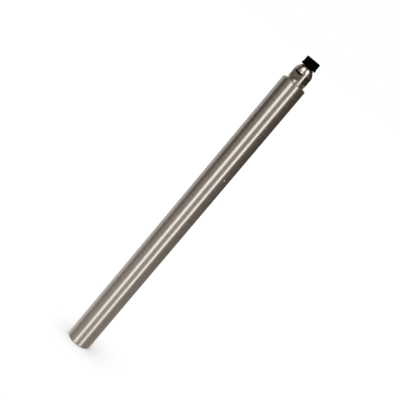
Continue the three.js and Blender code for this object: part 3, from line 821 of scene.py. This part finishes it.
def make_seals(materials):
    """O-rings, each a round section turned about its own axis."""
    sections = {"pressure_cell_o_ring": 0.4, "connector_o_ring": 0.38}
    for owner in ("sensor_head", "end_cap"):
        sections.update({f"{owner}_o_ring_{i}": 0.72 for i in (1, 2)})
    for name, section in sections.items():
        (x0, _, low), (x1, _, high) = span(name)
        middle, height = (x1 - x0) / 2 - section, (low + high) / 2
        angles = [2 * math.pi * i / 20 for i in range(20)]
        outline = [(middle + on_circle(section, a)[0], height + on_circle(section, a)[1]) for a in angles]
        piece = revolved(f"{name}_piece", outline, 112, centre(name))
        stands_for(piece, name, materials)


def make_rings(materials):
    """Sleeve, spacer and ring nut."""
    for name, wall in {"battery_sleeve": 0.25, "sensor_board_spacer": 0.8, "connector_ring_nut": 1.9}.items():
        (x0, _, low), (x1, _, high) = span(name)
        outer = (x1 - x0) / 2
        outline = [(outer - wall, low), (outer, low), (outer, high), (outer - wall, high)]
        piece = revolved(f"{name}_piece", rounded(outline, 0.1), 112)
        if name == "connector_ring_nut":
            cut(piece, [box_cutter((-8, -0.7, low - 1), (8, 0.7, low + 1))])
        stands_for(piece, name, materials)


def make_cells(materials):
    for i in (1, 2):
        name = f"battery_cell_{i}"
        (_, _, low), (radius, _, high) = span(name)
        outline = [
            (0, low), (5.5, low), (5.5, low + 0.4), (radius - 0.4, low + 0.4), (radius, low + 0.8),
            (radius, high - 1.4), (radius - 0.6, high - 1), (2.75, high - 1), (2.75, high), (0, high),
        ]
        stands_for(revolved(f"cell_{i}", rounded(outline, 0.25, 4), 96), name, materials)


SOFTENED_BY = 0.15
DESICCANT_SOFTENED_BY = 0.8
SOFTENED = (
    "analog_converter_chip", "processor_chip", "memory_chip", "clock_crystal", "filter_inductor",
    "supply_capacitor", "board_header", "harness_socket", "electronics_chassis",
)


def dress_kept_nodes(materials):
    """The CAD nodes that stay get their slot's material and softened edges."""
    for name, cad_object in frame["nodes"].items():
        cad_object.data.materials.clear()
        cad_object.data.materials.append(materials[SLOT_OF[name]])
    for name in SOFTENED:
        round_edges(frame["nodes"][name], SOFTENED_BY, 3)
    round_edges(frame["nodes"]["desiccant_pack"], DESICCANT_SOFTENED_BY, 3)


# ---- Studio ----

FLOOR_SIZE = 40.0
FLOOR_GAP = 0.0001


def make_floor():
    bm = bmesh.new()
    bmesh.ops.create_grid(bm, x_segments=1, y_segments=1, size=FLOOR_SIZE / 2)
    floor = finished("floor", bm)
    floor.location.z = CAD_BOX[0][2] - FLOOR_GAP
    floor.visible_glossy = False
    material, tree, shader = shaded("floor_paper")
    fibres = noise(tree, (400, 400, 400), 3, 0.6)
    tones = (rgba(0.93, 0.93, 0.93), rgba(0.96, 0.96, 0.96))
    connect(tree, shader.inputs["Base Color"], blend_colours(tree, fibres, *tones))
    shader.inputs["Roughness"].default_value = 1.0
    shader.inputs["Specular IOR Level"].default_value = 0.0
    floor.data.materials.append(material)


# Each panel of the studio, as seen from the tube: bearing from the camera to the right, half width and
# feather in degrees, and how bright it looks.
PANELS = [
    (-18, 5, 8, 1.62),
    (38, 3, 8, 1.8),
    (9, 18, 16, 0.24),
    (-46, 8, 22, 0.18),
    (58, 4, 16, 0.04),
    (-146, 24, 30, 0.5),
    (172, 8, 14, 1.2),
]
# Round lamps above: bearing, elevation, half width and feather in degrees, and brightness.
HIGH_LAMPS = [
    (-40, 55, 9, 10, 3.2),
    (50, 55, 9, 10, 3.2),
]
DARK_ROOM = (0.052, 0.042, 0.032)
# What changes with height: a value below, a value above, and the heights between which it changes. Height
# runs from -1 straight down to 1 straight up.
LOW_LIGHT = (0.36, 0, -0.48, -0.12)
PANEL_FOOT = (0.82, 1, -0.45, -0.1)
PANEL_TOP = (1, 0.25, 0.25, 0.75)
DEEP_SHADE = (0.15, 1, -0.85, -0.5)
SKY_STRENGTH = 0.5
SKY_SPREAD = math.radians(70)
SKY_TILT = (math.radians(20), math.radians(-15), 0)


def towards(bearing, elevation=0):
    """The direction that is so many degrees to the right of the camera, and above level."""
    angle, rise = CAMERA_AZIMUTH + math.radians(bearing), math.radians(elevation)
    return (math.sin(angle) * math.cos(rise), -math.cos(angle) * math.cos(rise), math.sin(rise))


def glow_of(tree, looking, light, half, feather, brightness):
    """Full brightness within the half width round the light's direction, fading out across the feather."""
    inputs = {0: looking, 1: light}
    close = node(tree, "ShaderNodeVectorMath", inputs, operation="DOT_PRODUCT").outputs["Value"]
    edge, core = math.cos(math.radians(half + feather)), math.cos(math.radians(half))
    return remap(tree, close, 0, brightness, edge, core, True)


def make_world():
    """White to the camera. What shines on the metal is a dark room with soft upright light panels."""
    world = bpy.data.worlds.new("studio")
    bpy.context.scene.world = world
    world.use_nodes = True
    tree = world.node_tree
    tree.nodes.clear()
    toward = node(tree, "ShaderNodeTexCoord").outputs["Generated"]
    parts = node(tree, "ShaderNodeSeparateXYZ", {0: toward}).outputs
    flat = node(tree, "ShaderNodeCombineXYZ", {0: parts[0], 1: parts[1]}).outputs[0]
    level = node(tree, "ShaderNodeVectorMath", {0: flat}, operation="NORMALIZE").outputs[0]
    glow = 0.0
    for bearing, half, feather, brightness in PANELS:
        mask = glow_of(tree, level, towards(bearing), half, feather, brightness)
        glow = math_node(tree, "ADD", glow, mask)
    height = parts[2]
    lift = remap(tree, height, *LOW_LIGHT, True)
    top_end, low_end = remap(tree, height, *PANEL_TOP, True), remap(tree, height, *PANEL_FOOT, True)
    ends = math_node(tree, "MULTIPLY", top_end, low_end)
    lit = math_node(tree, "MULTIPLY_ADD", glow, ends, lift)
    for bearing, elevation, half, feather, brightness in HIGH_LAMPS:
        lamp = glow_of(tree, toward, towards(bearing, elevation), half, feather, brightness)
        lit = math_node(tree, "ADD", lit, lamp)
    white = node(tree, "ShaderNodeCombineXYZ", {0: lit, 1: lit, 2: lit}).outputs[0]
    total = node(tree, "ShaderNodeVectorMath", {0: DARK_ROOM, 1: white}, operation="ADD").outputs[0]
    fade = remap(tree, height, *DEEP_SHADE, True)
    studio = node(tree, "ShaderNodeBackground", {"Color": total, "Strength": fade}).outputs[0]
    paper = node(tree, "ShaderNodeBackground", {"Color": rgba(1, 1, 1), "Strength": 1.0}).outputs[0]
    glossy = node(tree, "ShaderNodeLightPath").outputs["Is Glossy Ray"]
    mixed = node(tree, "ShaderNodeMixShader", {0: glossy, 1: paper, 2: studio}).outputs[0]
    node(tree, "ShaderNodeOutputWorld", {"Surface": mixed})


def make_lamp():
    """A broad soft light from above that keeps the floor pale and grounds the probe with a faint shadow."""
    data = bpy.data.lights.new("sky_panel", "SUN")
    data.angle = SKY_SPREAD
    data.energy = SKY_STRENGTH
    lamp = bpy.data.objects.new("sky_panel", data)
    bpy.context.collection.objects.link(lamp)
    lamp.rotation_euler = SKY_TILT
    lamp.visible_glossy = False


def main():
    bpy.context.scene.view_settings.view_transform = "Standard"
    make_camera()
    materials = make_materials()
    dress_kept_nodes(materials)
    makers = (
        make_tube, make_port_plug, make_end_cap, make_connector, make_protective_cap,
        make_sensor_head, make_circlip, make_sheath, make_port_disc,
        make_rods, make_seals, make_rings, make_cells,
    )
    for make in makers:
        make(materials)
    make_floor()
    make_world()
    make_lamp()


main()
